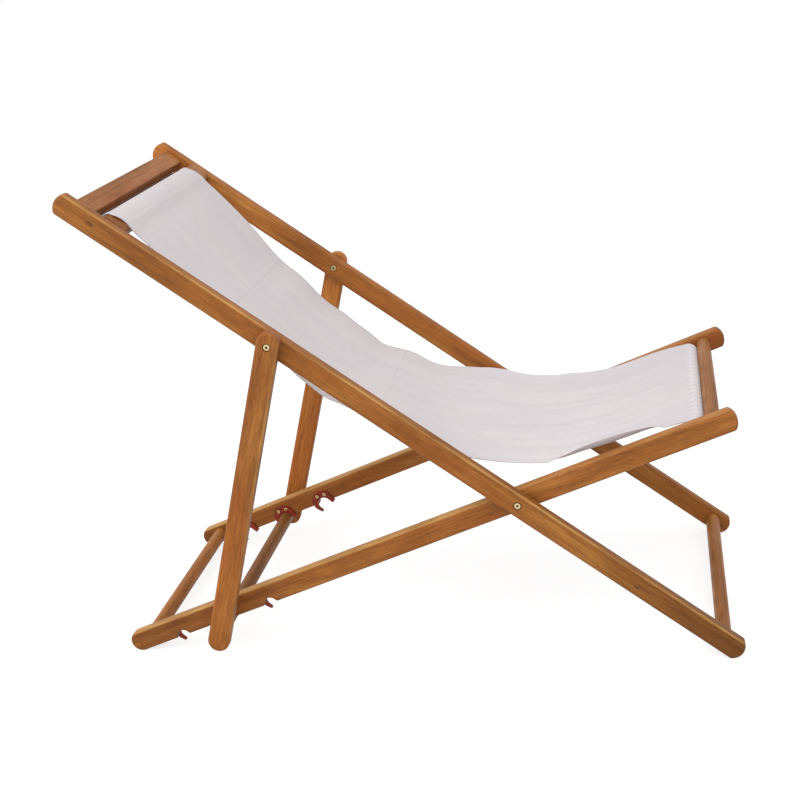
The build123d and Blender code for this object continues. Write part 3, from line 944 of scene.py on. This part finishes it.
def canvas_material(settings, creases, head_from, sleeve_from):
    """Plain canvas: weave, streaks, pressed creases with painted shade, painted shade on the head and
    seat, a paler front sleeve.
    """
    material, tree, shader = new_material("sling_canvas")
    uv = add_node(tree, "ShaderNodeUVMap", uv_map="canvas").outputs["UV"]
    across, along = add_node(tree, "ShaderNodeSeparateXYZ", {0: uv}).outputs[:2]
    turns = 2 * math.pi / yarn_pitch
    weave = product(tree, *[calc(tree, "SINE", product(tree, axis, turns)) for axis in (across, along)])
    slub = noise(tree, uv, slub_scale, roughness=0.6)
    streak = noise(tree, uv, streak_scale, detail=3.0, roughness=0.55)
    cloud = noise(tree, uv, canvas_cloud_scale)
    bend_place = creases[-1][0]
    sleeve_to = sleeve_from + sleeve_shade_reach
    shade = product(
        tree,
        step(tree, streak, *streak_step),
        step(tree, slub, *slub_step),
        step(tree, cloud, *canvas_cloud_step),
        # Painted shade along the pressed creases
        *[crease_shade(tree, along, *crease) for crease in creases],
        step(tree, along, sleeve_from, sleeve_to, 1.0, sleeve_shade),
        # Painted shade at the head end and on the seat towards the front
        step(tree, along, head_from, head_from + head_shade_reach, head_shade, 1.0),
        step(tree, along, bend_place, sleeve_from, 1.0, seat_shade),
    )
    to_warm = step(tree, cloud, *warm_step)
    body = mix(tree, to_warm, opaque(settings.colour), opaque(warm_canvas))
    height = calc(tree, "ADD", weave, product(tree, slub, slub_height))
    woven = bumped(tree, height, strength=0.3, distance=0.00012)
    folds = noise(tree, uv, soft_fold_scale)
    feed(tree, shader, {
        "Base Color": shaded(tree, body, shade),
        "Normal": bumped(tree, folds, strength=0.25, distance=0.0018, over=woven),
        "Roughness": 0.9,
        "Specular IOR Level": 0.2,
        "Sheen Weight": 0.12,
        "Sheen Roughness": 0.5,
    })
    return material


def canvas_blend(piece):
    """Bakes a piece of the canvas's placement into its mesh."""
    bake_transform(piece)


class BEACHCHAIR_OT_sling(bpy.types.Operator):
    """Builds the canvas sling with its hems and sleeves"""

    bl_idname = "beach_chair.sling"
    bl_label = "Sling"

    def execute(self, context):
        settings = context.scene.beach_chair_sling
        grid, normal, half, side, ends = sling_grid(settings)
        rows, columns = grid.shape[:2]
        off = normal * half[None, :, None]
        points = np.concatenate([(grid + off).reshape(-1, 3), (grid - off).reshape(-1, 3)])
        mesh = bpy.data.meshes.new("canvas_sling")
        mesh.from_pydata(points.tolist(), [], skin_faces(rows, columns))
        mesh.validate()

        centre_line = grid[:, columns // 2]
        run = running_length(centre_line)
        spread = np.stack(np.meshgrid(side, run), axis=2).reshape(-1, 2)
        spread = np.concatenate([spread, spread])
        layer = mesh.uv_layers.new(name="canvas")
        corner = np.zeros(len(mesh.loops), np.int32)
        mesh.loops.foreach_get("vertex_index", corner)
        layer.data.foreach_set("uv", spread[corner].astype(np.float32).ravel())
        mesh.shade_smooth()
        sling = add_object(context.scene, "canvas_sling", mesh)

        hanging = slice(ends["lower_round"], ends["hanging"])
        forward = centre_line[hanging, 0] - main_pivot.x
        lengths = run[hanging]
        creases = []
        for place, width, rise, line_width, line_depth in crease_lines:
            creases.append((float(np.interp(place, forward, lengths)), line_width, line_depth))
        mesh.materials.append(canvas_material(settings, creases, float(lengths[0]), float(lengths[-1])))
        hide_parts("sling")
        canvas_blend(sling)
        return {"FINISHED"}


# Sewing: rows that the cross seams keep from the ends of the drops, columns left free, and the thread
head_seam_back = 5
front_seam_back = 3
seam_margin = 6
twist_scale = (2600.0, 2600.0, 2600.0)
twist_share = (0.86, 0.86, 0.86)


def stitch_tree(material):
    """Geometry nodes that lay stitches along curves."""
    tree = bpy.data.node_groups.new("stitch_rows", "GeometryNodeTree")
    face = tree.interface
    face.new_socket("Geometry", in_out="INPUT", socket_type="NodeSocketGeometry")
    for name in ("Pitch", "Length", "Thread"):
        face.new_socket(name, in_out="INPUT", socket_type="NodeSocketFloat")
    face.new_socket("Geometry", in_out="OUTPUT", socket_type="NodeSocketGeometry")
    given = add_node(tree, "NodeGroupInput").outputs
    line = {"Curve": given["Geometry"], "Length": given["Pitch"]}
    places = add_node(tree, "GeometryNodeCurveToPoints", line, mode="LENGTH")
    bead = add_node(tree, "GeometryNodeMeshUVSphere", {"Segments": 6, "Rings": 4, "Radius": 0.5})
    thickness = given["Thread"]
    size = add_node(tree, "ShaderNodeCombineXYZ", {0: thickness, 1: thickness, 2: given["Length"]})
    laid = add_node(tree, "GeometryNodeInstanceOnPoints", {
        "Points": places.outputs["Points"],
        "Instance": bead.outputs["Mesh"],
        "Rotation": places.outputs["Rotation"],
        "Scale": size.outputs[0],
    })
    solid = add_node(tree, "GeometryNodeRealizeInstances", {0: laid.outputs["Instances"]})
    smooth = add_node(tree, "GeometryNodeSetShadeSmooth", {"Geometry": solid.outputs[0]})
    sewn = {"Geometry": smooth.outputs[0], "Material": material}
    painted = add_node(tree, "GeometryNodeSetMaterial", sewn)
    add_node(tree, "NodeGroupOutput", {0: painted.outputs[0]})
    return tree


def thread_material(settings):
    """Matt sewing thread with its twist."""
    material, tree, shader = new_material("sling_thread")
    twist = noise(tree, object_place(tree), twist_scale, detail=1.0)
    darker = tinted(settings.colour, twist_share)
    feed(tree, shader, {
        "Base Color": mix(tree, twist, opaque(darker), opaque(settings.colour)),
        "Normal": bumped(tree, twist, strength=0.2, distance=0.0001),
        "Roughness": 0.8,
    })
    return material


def seam_lines(grid, normal, half, side, ends, cloth):
    """Lines of the seams on both faces of the canvas: along the hems and across at the sleeves."""
    seam_place = cloth.width / 2 - cloth.hem_width + seam_inset
    far_seam = int(np.argmin(np.abs(side - seam_place)))
    near_seam = len(side) - 1 - far_seam
    head_row = ends["head_drop"] - head_seam_back
    front_row = ends["front_drop"] - front_seam_back
    lines = []
    for face in (1, -1):
        skin = grid + face * normal * half[None, :, None]
        for column in (far_seam, near_seam):
            lines.append(skin[ends["head_drop"]:ends["front_round"], column])
        for row in (head_row, ends["hanging"] - 1, front_row):
            lines.append(skin[row, seam_margin:-seam_margin])
    return lines


class BEACHCHAIR_OT_stitching(bpy.types.Operator):
    """Sews the hems and sleeves of the sling"""

    bl_idname = "beach_chair.stitching"
    bl_label = "Stitching"

    def execute(self, context):
        settings = context.scene.beach_chair_stitches
        cloth = context.scene.beach_chair_sling
        grid, normal, half, side, ends = sling_grid(cloth)
        curve = bpy.data.curves.new("stitch_lines", "CURVE")
        curve.dimensions = "3D"
        for points in seam_lines(grid, normal, half, side, ends, cloth):
            spline = curve.splines.new("POLY")
            spline.points.add(len(points) - 1)
            weighted = np.concatenate([points, np.ones((len(points), 1))], axis=1)
            spline.points.foreach_set("co", weighted.astype(np.float32).ravel())
        lines = add_object(context.scene, "stitch_lines", curve)
        tree = stitch_tree(thread_material(settings))
        modifier = lines.modifiers.new("stitches", "NODES")
        modifier.node_group = tree
        sizes = {"Pitch": settings.pitch, "Length": settings.length, "Thread": settings.thread}
        for socket in tree.interface.items_tree:
            if socket.in_out == "INPUT" and socket.name in sizes:
                modifier[socket.identifier] = sizes[socket.name]
        context.view_layer.update()
        shown = lines.evaluated_get(context.evaluated_depsgraph_get())
        mesh = bpy.data.meshes.new_from_object(shown)
        bpy.data.objects.remove(lines)
        stitches = add_object(context.scene, "sling_stitches", mesh)
        canvas_blend(stitches)

        return {"FINISHED"}


# Lamps: place and side of the square in metres, and the setting with the power; all face one point
lamps = {
    "key": ((0.0, -1.4, 3.4), 2.6, "key_power"),
    "fill": ((0.9, -3.2, 1.7), 2.4, "fill_power"),
    "side": ((-2.4, -1.9, 1.6), 2.0, "side_power"),
}
lamp_aim = (0.0, 0.0, 0.4)
white = (1, 1, 1, 1)
sensor_width = 36.0
farthest_seen = 200.0


def seen_ray(tree):
    """1 on rays that show the background: straight from the camera, off metal and through glass."""
    light = add_node(tree, "ShaderNodeLightPath")
    names = ("Is Camera Ray", "Is Glossy Ray", "Is Transmission Ray")
    first, second, third = [light.outputs[name] for name in names]
    return calc(tree, "ADD", calc(tree, "ADD", first, second), third, clamp=True)


def studio_world(settings):
    """Even white light, and a plain white background where it is seen."""
    world = bpy.data.worlds.new("studio")
    world.use_nodes = True
    tree = world.node_tree
    tree.nodes.clear()
    even = add_node(tree, "ShaderNodeBackground", {"Color": white, "Strength": settings.ambient})
    plain = add_node(tree, "ShaderNodeBackground", {"Color": white, "Strength": 1.0})
    shaders = {0: seen_ray(tree), 1: even.outputs[0], 2: plain.outputs[0]}
    mixed = add_node(tree, "ShaderNodeMixShader", shaders)
    add_node(tree, "ShaderNodeOutputWorld", {"Surface": mixed.outputs[0]})
    return world


def floor_material(settings):
    """Matt pale paint that fades into the white background."""
    material, tree, shader = new_material("floor_paint")
    feed(tree, shader, {
        "Base Color": opaque([settings.floor_grey] * 3),
        "Roughness": 1.0,
        "Specular IOR Level": 0.0,
        "Emission Color": white,
        "Emission Strength": product(tree, seen_ray(tree), settings.floor_glow),
    })
    return material


class BEACHCHAIR_OT_stage(bpy.types.Operator):
    """Sets the floor, the studio light and the camera"""

    bl_idname = "beach_chair.stage"
    bl_label = "Stage"

    def execute(self, context):
        settings = context.scene.beach_chair_stage
        scene = context.scene
        scene.view_settings.view_transform = "Standard"
        scene.world = studio_world(settings)

        half = settings.floor_size / 2
        corners = [(-half, -half, 0), (half, -half, 0), (half, half, 0), (-half, half, 0)]
        mesh = bpy.data.meshes.new("studio_floor")
        mesh.from_pydata(corners, [], [(0, 1, 2, 3)])
        mesh.materials.append(floor_material(settings))
        floor = add_object(scene, "studio_floor", mesh)

        for name, (place, size, power) in lamps.items():
            lamp = bpy.data.lights.new(name, "AREA")
            lamp.shape = "SQUARE"
            lamp.size = size
            lamp.energy = getattr(settings, power)
            holder = add_object(scene, name, lamp)
            holder.location = place
            holder.rotation_euler = (Vector(lamp_aim) - Vector(place)).to_track_quat("-Z", "Y").to_euler()

        camera = bpy.data.cameras.new("camera")
        camera.lens = settings.lens
        camera.sensor_width = sensor_width
        camera.clip_end = farthest_seen
        holder = add_object(scene, "camera", camera)
        holder.location = settings.camera_place
        holder.rotation_euler = settings.camera_turn
        scene.camera = holder
        return {"FINISHED"}


class BEACHCHAIR_PT_panel(bpy.types.Panel):
    """Sidebar panel of the beach chair"""

    bl_idname = "BEACHCHAIR_PT_panel"
    bl_label = "Beach chair"
    bl_space_type = "VIEW_3D"
    bl_region_type = "UI"
    bl_category = "Beach chair"

    def draw(self, context):
        for operator, name, group in panel_rows:
            box = self.layout.box()
            box.operator(operator.bl_idname)
            settings = getattr(context.scene, name)
            for setting in group.__annotations__:
                box.prop(settings, setting)


# Operators in their order, with the name and the class of their settings
panel_rows = (
    (BEACHCHAIR_OT_wood, "beach_chair_wood", WoodSettings),
    (BEACHCHAIR_OT_fittings, "beach_chair_fittings", FittingSettings),
    (BEACHCHAIR_OT_sling, "beach_chair_sling", SlingSettings),
    (BEACHCHAIR_OT_stitching, "beach_chair_stitches", StitchSettings),
    (BEACHCHAIR_OT_stage, "beach_chair_stage", StageSettings),
)


def register():
    for operator, name, group in panel_rows:
        bpy.utils.register_class(group)
        bpy.utils.register_class(operator)
        setattr(bpy.types.Scene, name, PointerProperty(type=group))
    bpy.utils.register_class(BEACHCHAIR_PT_panel)


def unregister():
    bpy.utils.unregister_class(BEACHCHAIR_PT_panel)
    for operator, name, group in reversed(panel_rows):
        delattr(bpy.types.Scene, name)
        bpy.utils.unregister_class(operator)
        bpy.utils.unregister_class(group)


def main():
    register()
    bpy.ops.beach_chair.wood()
    bpy.ops.beach_chair.fittings()
    bpy.ops.beach_chair.sling()
    bpy.ops.beach_chair.stitching()
    bpy.ops.beach_chair.stage()


if __name__ == "__main__":
    main()
